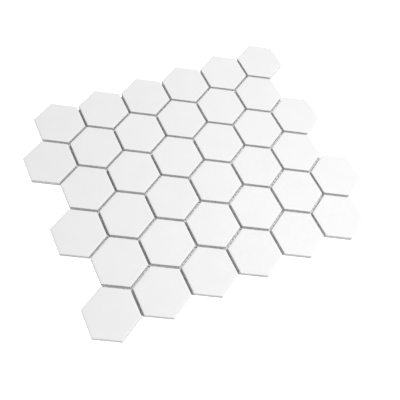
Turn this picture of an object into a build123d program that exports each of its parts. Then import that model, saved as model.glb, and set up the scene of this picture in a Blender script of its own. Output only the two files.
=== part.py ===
import math
import os

from build123d import *

# Sheet of hexagon mosaic tiles on a backing mesh, lying face up.
# Millimetres. +Z is up through the tile faces, +X runs along the rows of tiles,
# the origin is on the floor under the middle of the sheet.

# ---- driving dimensions -------------------------------------------------
TILE_FLATS = 51.0        # tile width across two parallel sides
TILE_THICK = 5.6         # tile body, back to face
TILE_CORNER_R = 1.0      # rounding of the six upright corners
TILE_ARRIS_R = 0.6       # rounding round the face
TILE_BACK_CHAMFER = 0.4  # bevel round the back
JOINT = 2.5              # open joint between neighbouring tiles
ROWS = 6
TILES_PER_ROW = 6

MESH_THICK = 0.4         # backing mesh, strand height
MESH_PITCH = 4.1         # strand spacing, both ways
STRAND_W = 0.8           # strand width
MESH_INSET = 3.0         # crossings stay this far inside the sheet outline
STRAND_END_INSET = 1.9   # loose strand ends stay this far inside the outline
PANELS_X = 4             # the mesh is split into this many panels along X
PANELS_Y = 4             # and this many along Y

# ---- derived ------------------------------------------------------------
PITCH = TILE_FLATS + JOINT               # centre to centre along a row
ROW_STEP = PITCH * math.sqrt(3.0) / 2.0  # centre to centre across rows


def tile_centre(row, col):
    """Row 1 is the +Y edge; odd rows are shifted half a pitch towards +X."""
    shift = PITCH / 4.0 if row % 2 else -PITCH / 4.0
    x = (col - (TILES_PER_ROW + 1) / 2.0) * PITCH + shift
    y = ((ROWS + 1) / 2.0 - row) * ROW_STEP
    return x, y


def make_tile():
    """One tile, back on z = 0, a point of the hexagon towards +Y."""
    radius = TILE_FLATS / math.sqrt(3.0)
    corners = [
        (radius * math.cos(math.radians(30 + 60 * k)),
         radius * math.sin(math.radians(30 + 60 * k)))
        for k in range(6)
    ]
    with BuildPart() as body:
        with BuildSketch():
            with BuildLine():
                Polyline(*corners, close=True)
            make_face()
            fillet(vertices(), TILE_CORNER_R)
        extrude(amount=TILE_THICK)
        fillet(body.faces().sort_by(Axis.Z)[-1].edges(), TILE_ARRIS_R)
        chamfer(body.faces().sort_by(Axis.Z)[0].edges(), TILE_BACK_CHAMFER)
    return body.part


# ---- outline of the sheet, for trimming the mesh ------------------------
CELLS = [tile_centre(r, c)
         for r in range(1, ROWS + 1) for c in range(1, TILES_PER_ROW + 1)]
NORMALS = [(math.cos(math.radians(60 * k)), math.sin(math.radians(60 * k)))
           for k in range(6)]


def outline_segments():
    """Hexagon cell sides that belong to one tile only."""
    reach = PITCH / math.sqrt(3.0)
    sides = {}
    for cx, cy in CELLS:
        ring = [(cx + reach * math.cos(math.radians(30 + 60 * k)),
                 cy + reach * math.sin(math.radians(30 + 60 * k)))
                for k in range(6)]
        for k in range(6):
            p, q = ring[k], ring[(k + 1) % 6]
            key = (round((p[0] + q[0]) / 2.0, 2), round((p[1] + q[1]) / 2.0, 2))
            sides.setdefault(key, []).append((p, q))
    return [found[0] for found in sides.values() if len(found) == 1]


OUTLINE = outline_segments()


def depth_inside(x, y):
    """Distance from a point to the sheet outline, negative when outside."""
    within = False
    for cx, cy in CELLS:
        if all((x - cx) * nx + (y - cy) * ny <= PITCH / 2.0 + 1e-6
               for nx, ny in NORMALS):
            within = True
            break
    best = 1e9
    for (ax, ay), (bx, by) in OUTLINE:
        dx, dy = bx - ax, by - ay
        t = ((x - ax) * dx + (y - ay) * dy) / (dx * dx + dy * dy)
        t = min(1.0, max(0.0, t))
        best = min(best, math.hypot(x - ax - t * dx, y - ay - t * dy))
    return best if within else -best


# ---- backing mesh: crossings, and the half strands that leave each one --
HALF_X = int((TILES_PER_ROW + 1) * PITCH / 2.0 / MESH_PITCH)
HALF_Y = int((ROWS * ROW_STEP + PITCH) / 2.0 / MESH_PITCH)
crossings = {}
for i in range(-HALF_X, HALF_X + 1):
    for k in range(-HALF_Y, HALF_Y + 1):
        if depth_inside(i * MESH_PITCH, k * MESH_PITCH) >= MESH_INSET:
            crossings[(i, k)] = set()

for (i, k), arms in crossings.items():
    for di, dk in ((1, 0), (-1, 0), (0, 1), (0, -1)):
        tip = depth_inside((i + di / 2.0) * MESH_PITCH, (k + dk / 2.0) * MESH_PITCH)
        if (i + di, k + dk) in crossings or tip >= STRAND_END_INSET:
            arms.add((di, dk))


def panel_ranges(lowest, highest, count):
    total = highest - lowest + 1
    cuts = [lowest + round(total * n / count) for n in range(count + 1)]
    return [(cuts[n], cuts[n + 1] - 1) for n in range(count)]


def loops_of(cells, xs, ys):
    """Closed outlines of a set of filled grid cells, corners only."""
    onward = {}
    for (a, b) in cells:
        ring = [(a, b), (a + 1, b), (a + 1, b + 1), (a, b + 1)]
        for n, beside in enumerate(((a, b - 1), (a + 1, b), (a, b + 1), (a - 1, b))):
            if beside not in cells:
                onward.setdefault(ring[n], []).append(ring[(n + 1) % 4])
    loops = []
    while onward:
        start = next(iter(onward))
        path, here = [start], onward[start].pop()
        if not onward[start]:
            del onward[start]
        while here != start:
            path.append(here)
            nxt = onward[here].pop()
            if not onward[here]:
                del onward[here]
            here = nxt
        corners = []
        for n in range(len(path)):
            p, q, r = path[n - 1], path[n], path[(n + 1) % len(path)]
            if (p[0] == q[0]) != (q[0] == r[0]):
                corners.append((xs[q[0]], ys[q[1]]))
        loops.append(corners)
    return loops


def signed_area(loop):
    return 0.5 * sum(loop[n - 1][0] * loop[n][1] - loop[n][0] * loop[n - 1][1]
                     for n in range(len(loop)))


def make_panel(i_lo, i_hi, k_lo, k_hi):
    """Strands of one panel as flat bars fused where they cross."""
    def lines(lo, hi):
        out = [(lo - 0.5) * MESH_PITCH]
        for n in range(lo, hi + 1):
            out += [n * MESH_PITCH - STRAND_W / 2.0,
                    n * MESH_PITCH + STRAND_W / 2.0,
                    (n + 0.5) * MESH_PITCH]
        return out

    xs, ys = lines(i_lo, i_hi), lines(k_lo, k_hi)
    cells = set()
    for (i, k), arms in crossings.items():
        if i_lo <= i <= i_hi and k_lo <= k <= k_hi:
            a, b = 3 * (i - i_lo) + 1, 3 * (k - k_lo) + 1
            cells.add((a, b))
            for di, dk in arms:
                cells.add((a + di, b + dk))
    loops = loops_of(cells, xs, ys)
    outers = [loop for loop in loops if signed_area(loop) > 0]
    holes = [loop for loop in loops if signed_area(loop) < 0]
    # keep the one connected net; a crossing cut off from it is not carried
    outers.sort(key=signed_area)
    outer = outers[-1]
    face = Face(Wire.make_polygon([(x, y, 0.0) for x, y in outer], close=True),
                [Wire.make_polygon([(x, y, 0.0) for x, y in hole], close=True)
                 for hole in holes])
    return extrude(face, amount=MESH_THICK, dir=(0, 0, 1)), len(outers)


os.makedirs("parts", exist_ok=True)

tile = make_tile()
for row in range(1, ROWS + 1):
    for col in range(1, TILES_PER_ROW + 1):
        x, y = tile_centre(row, col)
        export_step(tile.moved(Location((x, y, MESH_THICK))),
                    "parts/tile_r%d_c%d.step" % (row, col))

i_all = [i for i, _ in crossings]
k_all = [k for _, k in crossings]
number = 0
for k_lo, k_hi in reversed(panel_ranges(min(k_all), max(k_all), PANELS_Y)):
    for i_lo, i_hi in panel_ranges(min(i_all), max(i_all), PANELS_X):
        number += 1
        panel, nets = make_panel(i_lo, i_hi, k_lo, k_hi)
        export_step(panel, "parts/mesh_backing_%02d.step" % number,
                    write_pcurves=False)
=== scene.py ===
import math

import bmesh
import bpy
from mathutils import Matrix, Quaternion, Vector


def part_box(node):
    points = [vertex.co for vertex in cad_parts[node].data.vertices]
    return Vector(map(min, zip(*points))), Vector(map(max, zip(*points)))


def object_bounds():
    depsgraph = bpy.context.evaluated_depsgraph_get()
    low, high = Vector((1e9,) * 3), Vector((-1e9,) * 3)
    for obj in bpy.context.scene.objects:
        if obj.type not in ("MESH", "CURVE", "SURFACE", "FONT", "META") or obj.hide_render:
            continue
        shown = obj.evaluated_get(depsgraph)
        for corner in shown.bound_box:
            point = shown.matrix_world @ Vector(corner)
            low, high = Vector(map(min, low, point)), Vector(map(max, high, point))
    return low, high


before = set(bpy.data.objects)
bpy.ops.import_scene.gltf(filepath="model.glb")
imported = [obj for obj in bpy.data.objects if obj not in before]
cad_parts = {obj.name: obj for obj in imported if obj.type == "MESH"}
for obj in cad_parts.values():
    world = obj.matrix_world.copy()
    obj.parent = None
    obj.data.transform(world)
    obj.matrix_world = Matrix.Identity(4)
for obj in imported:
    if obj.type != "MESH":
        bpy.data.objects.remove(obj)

cad_lo, cad_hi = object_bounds()
scene = bpy.context.scene

Z_FACE = cad_hi.z            # height of the tile faces

# light: softboxes on the sheet (azimuth from +X, elevation, watts), a dim sky,
# a glow from below that stands for what the white floor throws back at the
# edges, and an even light of its own on the open floor
SOFTBOXES = [(-60, 52, 50.5), (15, 65, 64.5)]
BOX_DISTANCE, BOX_SIZE = 3.0, 0.7
SKY, BELOW = 0.104, 1.01
FLOOR_LIGHT = 3.9
UNDER_PAINTED_SHADE = 0.80                 # albedo of the floor under the sheet, darker than the open floor: painted shade seen in the joints
BODY = (0.70, 0.70, 0.70)    # bare porcelain below the glaze
STRAND_PITCH, STRAND_W = 0.0041, 0.0008
YARN_ACROSS, YARN_ALONG = (0.60, 0.60, 0.585), (0.78, 0.78, 0.765)

TILES = sorted(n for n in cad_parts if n.startswith("tile_"))
MESH = sorted(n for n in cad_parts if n.startswith("mesh_"))


def middle(name):
    lo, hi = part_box(name)
    return (lo.x + hi.x) / 2, (lo.y + hi.y) / 2


SPOTS = [middle(name) for name in TILES]
PITCH = min(math.dist(SPOTS[0], s) for s in SPOTS[1:])
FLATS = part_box(TILES[0])[1].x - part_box(TILES[0])[0].x
CUSHION_W, CUSHION_H = 0.0030, 0.00020   # how far in and how deep the face rolls off


# ------------------------------------------------------------------ nodes
class Graph:
    """Short names for building one material's node tree."""

    def __init__(self, name):
        self.mat = bpy.data.materials.new(name)
        self.mat.use_nodes = True
        self.tree = self.mat.node_tree
        self.tree.nodes.clear()
        self.out = self.tree.nodes.new("ShaderNodeOutputMaterial")
        self.bsdf = self.tree.nodes.new("ShaderNodeBsdfPrincipled")
        self.link(self.bsdf.outputs[0], self.out.inputs["Surface"])

    def new(self, kind, **values):
        node = self.tree.nodes.new(kind)
        for key, value in values.items():
            setattr(node, key, value)
        return node

    def link(self, a, b):
        self.tree.links.new(a, b)

    def put(self, socket, value):
        if isinstance(value, bpy.types.NodeSocket):
            self.link(value, socket)
        else:
            socket.default_value = value

    def math(self, op, a, b=None, c=None, clamp=False):
        n = self.new("ShaderNodeMath", operation=op, use_clamp=clamp)
        for i, v in enumerate((a, b, c)):
            if v is not None:
                self.put(n.inputs[i], v)
        return n.outputs[0]

    def ramp(self, value, lo, hi, to_lo=0.0, to_hi=1.0, smooth=True):
        n = self.new("ShaderNodeMapRange",
                     interpolation_type="SMOOTHSTEP" if smooth else "LINEAR")
        self.put(n.inputs[0], value)
        for i, v in enumerate((lo, hi, to_lo, to_hi)):
            n.inputs[i + 1].default_value = v
        return n.outputs[0]

    def noise(self, coord, scale, detail=2.0, rough=0.5):
        n = self.new("ShaderNodeTexNoise")
        self.link(coord, n.inputs["Vector"])
        n.inputs["Scale"].default_value = scale
        n.inputs["Detail"].default_value = detail
        n.inputs["Roughness"].default_value = rough
        return n.outputs["Fac"]

    def mix(self, fac, a, b, blend="MIX"):
        n = self.new("ShaderNodeMix", data_type="RGBA", blend_type=blend)
        self.put(n.inputs[0], fac)
        self.put(n.inputs[6], a)
        self.put(n.inputs[7], b)
        return n.outputs[2]

    def bump(self, height, distance, strength=1.0, normal=None):
        n = self.new("ShaderNodeBump")
        n.inputs["Strength"].default_value = strength
        n.inputs["Distance"].default_value = distance
        self.link(height, n.inputs["Height"])
        if normal is not None:
            self.link(normal, n.inputs["Normal"])
        return n.outputs[0]


def grey(v):
    return (v, v, v, 1.0)


def from_side(g, x, y):
    """Distance from the nearest side of the tile that x, y is on, inwards."""
    step = PITCH * math.sqrt(3.0) / 2.0
    reach = []
    for cx, cy in (middle("tile_r1_c1"), middle("tile_r2_c1")):
        u = g.math("ABSOLUTE", g.math("WRAP", g.math("SUBTRACT", x, cx), PITCH / 2, -PITCH / 2))
        v = g.math("ABSOLUTE", g.math("WRAP", g.math("SUBTRACT", y, cy), step, -step))
        slant = g.math("MULTIPLY_ADD", u, 0.5, g.math("MULTIPLY", v, math.sqrt(0.75)))
        reach.append(g.math("MAXIMUM", u, slant))
    return g.math("SUBTRACT", FLATS / 2, g.math("MINIMUM", reach[0], reach[1]))


# -------------------------------------------------------------- porcelain
def porcelain():
    g = Graph("porcelain_matte_white")
    geo = g.new("ShaderNodeNewGeometry")
    pos = geo.outputs["Position"]
    split = g.new("ShaderNodeSeparateXYZ")
    g.link(pos, split.inputs[0])
    height = split.outputs["Z"]
    tile = g.new("ShaderNodeObjectInfo").outputs["Random"]

    # the glaze runs over the arris and stops unevenly a little way down the side
    wander = g.noise(pos, 240.0, 3.0)
    line = g.math("MULTIPLY_ADD", wander, 0.0009, height)
    glazed = g.ramp(line, Z_FACE - 0.0010, Z_FACE - 0.0003)

    cloud = g.ramp(g.noise(pos, 45.0, 3.0, 0.55), 0.3, 0.7, 0.99, 1.008)
    grain = g.ramp(g.noise(pos, 1400.0, 2.0), 0.3, 0.7, 0.99, 1.008)
    batch = g.ramp(tile, 0.0, 1.0, 0.995, 1.005, smooth=False)
    tone = g.math("MULTIPLY", g.math("MULTIPLY", cloud, grain), batch)

    glaze = g.mix(1.0, (0.735, 0.735, 0.735, 1.0), tone, "MULTIPLY")
    speck = g.ramp(g.noise(pos, 2600.0, 1.0), 0.30, 0.42, 0.80, 1.0)
    body_tone = g.math("MULTIPLY", speck, g.ramp(g.noise(pos, 180.0, 4.0), 0.3, 0.7, 0.92, 1.05))
    body = g.mix(1.0, (*BODY, 1.0), body_tone, "MULTIPLY")
    g.link(g.mix(glazed, body, glaze), g.bsdf.inputs["Base Color"])

    rough_glaze = g.ramp(g.noise(pos, 320.0, 3.0), 0.3, 0.7, 0.50, 0.62)
    n = g.new("ShaderNodeMix", data_type="FLOAT")
    g.link(glazed, n.inputs[0])
    n.inputs[2].default_value = 0.92
    g.link(rough_glaze, n.inputs[3])
    g.link(n.outputs[0], g.bsdf.inputs["Roughness"])
    g.bsdf.inputs["Specular IOR Level"].default_value = 0.4

    # the face rolls off gently towards its sides
    left = g.ramp(from_side(g, split.outputs["X"], split.outputs["Y"]), 0.0, CUSHION_W, 1.0, 0.0, smooth=False)
    cushion = g.bump(g.math("SUBTRACT", 1.0, g.math("MULTIPLY", left, left)), CUSHION_H)
    fine = g.bump(g.noise(pos, 2200.0, 2.0), 0.000012, normal=cushion)
    broad = g.bump(g.noise(pos, 130.0, 2.0), 0.00006, normal=fine)
    g.link(broad, g.bsdf.inputs["Normal"])
    return g.mat


# ---------------------------------------------------------- backing mesh
def glass_yarn():
    g = Graph("backing_glass_yarn")
    geo = g.new("ShaderNodeNewGeometry")
    pos = geo.outputs["Position"]
    split = g.new("ShaderNodeSeparateXYZ")
    g.link(pos, split.inputs[0])
    # strands along the rows are given a paler colour than those across them
    beside = g.math("ABSOLUTE", g.math("WRAP", split.outputs["Y"], STRAND_PITCH / 2, -STRAND_PITCH / 2))
    along = g.ramp(beside, STRAND_W / 2, STRAND_W / 2 + 0.0001, 1.0, 0.0)
    yarn = g.mix(along, (*YARN_ACROSS, 1.0), (*YARN_ALONG, 1.0))
    tone = g.ramp(g.noise(pos, 900.0, 3.0), 0.3, 0.7, 0.85, 1.05)
    g.link(g.mix(1.0, yarn, tone, "MULTIPLY"), g.bsdf.inputs["Base Color"])
    g.link(g.ramp(g.noise(pos, 1500.0, 2.0), 0.3, 0.7, 0.55, 0.8), g.bsdf.inputs["Roughness"])
    g.link(g.bump(g.noise(pos, 3000.0, 3.0), 0.00004), g.bsdf.inputs["Normal"])
    return g.mat


tile_mat, mesh_mat = porcelain(), glass_yarn()
for names, mat in ((TILES, tile_mat), (MESH, mesh_mat)):
    for name in names:
        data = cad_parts[name].data
        data.materials.clear()
        data.materials.append(mat)


# ------------------------------------------------------------------ stage
def sheet_outline(inset):
    """The saw-toothed outline round all tile cells, anticlockwise, moved inwards."""
    reach = PITCH / math.sqrt(3.0)
    sides = {}
    for cx, cy in SPOTS:
        ring = [(cx + reach * math.cos(math.radians(30 + 60 * k)),
                 cy + reach * math.sin(math.radians(30 + 60 * k))) for k in range(6)]
        for k in range(6):
            p, q = ring[k], ring[(k + 1) % 6]
            key = (round((p[0] + q[0]) * 500), round((p[1] + q[1]) * 500))
            sides.setdefault(key, []).append((p, q))
    onward = {}
    for found in sides.values():
        if len(found) == 1:
            p, q = found[0]
            onward[(round(p[0] * 1000), round(p[1] * 1000))] = (p, q)
    start = next(iter(onward))
    loop, key = [], start
    while True:
        p, q = onward[key]
        loop.append(Vector(p))
        key = (round(q[0] * 1000), round(q[1] * 1000))
        if key == start:
            break
    moved = []
    for i, p in enumerate(loop):
        d1 = (p - loop[i - 1]).normalized()
        d2 = (loop[(i + 1) % len(loop)] - p).normalized()
        n1, n2 = Vector((-d1.y, d1.x)), Vector((-d2.y, d2.x))
        moved.append(p + (n1 + n2) * (inset / (1.0 + n1.dot(n2))))
    return moved


def floor_material(name, albedo, glow=0.0):
    g = Graph(name)
    geo = g.new("ShaderNodeNewGeometry")
    tone = g.ramp(g.noise(geo.outputs["Position"], 3.0, 2.0), 0.3, 0.7, 0.995, 1.0)
    g.link(g.mix(1.0, grey(albedo), tone, "MULTIPLY"), g.bsdf.inputs["Base Color"])
    g.bsdf.inputs["Roughness"].default_value = 0.9
    g.bsdf.inputs["Specular IOR Level"].default_value = 0.1
    g.bsdf.inputs["Emission Color"].default_value = (1.0, 1.0, 1.0, 1.0)
    g.bsdf.inputs["Emission Strength"].default_value = glow
    return g.mat


def flat_mesh(name, loops, z, mat):
    bm = bmesh.new()
    edges = []
    for loop in loops:
        verts = [bm.verts.new((p[0], p[1], z)) for p in loop]
        edges += [bm.edges.new((verts[i - 1], verts[i])) for i in range(len(verts))]
    bmesh.ops.triangle_fill(bm, use_beauty=True, use_dissolve=False, edges=edges,
                            normal=(0.0, 0.0, 1.0))
    data = bpy.data.meshes.new(name)
    bm.to_mesh(data)
    bm.free()
    data.materials.append(mat)
    obj = bpy.data.objects.new(name, data)
    scene.collection.objects.link(obj)
    return obj


# the open floor, and the patch of it that the sheet covers; that patch gets a darker colour, painted shade
# seen in the joints
FLOOR_Z = -0.0001
rim = sheet_outline(0.0016)
far = [(14.0 * math.cos(2 * math.pi * k / 64), 14.0 * math.sin(2 * math.pi * k / 64))
       for k in range(64)]
open_floor = flat_mesh("floor_open", [rim, far], FLOOR_Z, floor_material("floor_white", 0.93))
# painted shade: the covered patch gets a darker floor colour than the open floor
covered_floor = flat_mesh("floor_covered", [rim], FLOOR_Z, floor_material("floor_under_sheet_painted_shade", UNDER_PAINTED_SHADE))


def backdrop():
    """White wall round the stage, for the camera only: it lights nothing."""
    g = Graph("backdrop_white")
    geo = g.new("ShaderNodeNewGeometry")
    tone = g.ramp(g.noise(geo.outputs["Position"], 0.4, 2.0), 0.3, 0.7, 0.995, 1.0)
    g.bsdf.inputs["Base Color"].default_value = grey(0.0)
    g.link(g.mix(1.0, grey(1.05), tone, "MULTIPLY"), g.bsdf.inputs["Emission Color"])
    g.bsdf.inputs["Emission Strength"].default_value = 1.0
    g.bsdf.inputs["Specular IOR Level"].default_value = 0.0
    g.mat.cycles.emission_sampling = "NONE"
    verts = [(x, y, z) for z in (-0.5, 12.0) for x, y in far]
    n = len(far)
    faces = [(k, (k + 1) % n, n + (k + 1) % n, n + k) for k in range(n)]
    data = bpy.data.meshes.new("backdrop")
    data.from_pydata(verts, [], faces)
    data.materials.append(g.mat)
    obj = bpy.data.objects.new("backdrop", data)
    scene.collection.objects.link(obj)
    return obj


wall = backdrop()
for o in (wall, open_floor):
    o.visible_diffuse = False
    o.visible_shadow = False
    o.visible_transmission = False
wall.visible_glossy = False


def studio(sky, below):
    world = bpy.data.worlds.new("studio")
    world.use_nodes = True
    tree = world.node_tree
    back = tree.nodes["Background"]
    back.inputs[0].default_value = (1.0, 1.0, 1.0, 1.0)
    coord = tree.nodes.new("ShaderNodeTexCoord")
    split = tree.nodes.new("ShaderNodeSeparateXYZ")
    fade = tree.nodes.new("ShaderNodeMapRange")
    for i, v in enumerate((-0.02, 0.02, below, sky)):
        fade.inputs[i + 1].default_value = v
    tree.links.new(coord.outputs["Generated"], split.inputs[0])
    tree.links.new(split.outputs["Z"], fade.inputs[0])
    tree.links.new(fade.outputs[0], back.inputs[1])
    return world, fade


scene.world, world_fade = studio(SKY, BELOW)


def lit_group(name, objects):
    group = bpy.data.collections.new(name)
    for o in objects:
        group.objects.link(o)
    return group


on_sheet = lit_group("lit_sheet", [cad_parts[n] for n in TILES + MESH] + [covered_floor])
on_floor = lit_group("lit_floor", [open_floor])


def softbox(name, azimuth, elevation, watts):
    """Square area light aimed at the sheet; azimuth from +X towards +Y."""
    a, e = math.radians(azimuth), math.radians(elevation)
    away = Vector((math.cos(a) * math.cos(e), math.sin(a) * math.cos(e), math.sin(e)))
    data = bpy.data.lights.new(name, "AREA")
    data.shape = "SQUARE"
    data.size = BOX_SIZE
    data.energy = watts
    obj = bpy.data.objects.new(name, data)
    obj.location = away * BOX_DISTANCE
    obj.rotation_mode = "QUATERNION"
    obj.rotation_quaternion = (-away).to_track_quat("-Z", "Y")
    obj.light_linking.receiver_collection = on_sheet
    scene.collection.objects.link(obj)
    return obj


for n, (azimuth, elevation, watts) in enumerate(SOFTBOXES):
    softbox("softbox_%d" % (n + 1), azimuth, elevation, watts)

floor_light = bpy.data.objects.new("floor_light", bpy.data.lights.new("floor_light", "SUN"))
floor_light.data.energy = FLOOR_LIGHT
floor_light.light_linking.receiver_collection = on_floor
floor_light.light_linking.blocker_collection = on_floor
scene.collection.objects.link(floor_light)

# ----------------------------------------------------------------- camera
cam_data = bpy.data.cameras.new("camera")
cam_data.sensor_fit = "HORIZONTAL"
cam_data.sensor_width = 36.0
cam_data.lens = 45.3436
cam_data.clip_start, cam_data.clip_end = 0.01, 100.0
cam = bpy.data.objects.new("camera", cam_data)
cam.location = (-0.171266, -0.247245, 0.493105)
cam.rotation_mode = "QUATERNION"
cam.rotation_quaternion = Quaternion((0.947964229, 0.221686207, -0.102236735, -0.204369018))
scene.collection.objects.link(cam)
scene.camera = cam

scene.view_settings.view_transform = "Standard"
scene.view_settings.look = "None"
scene.view_settings.exposure = 0.0
scene.view_settings.gamma = 1.0
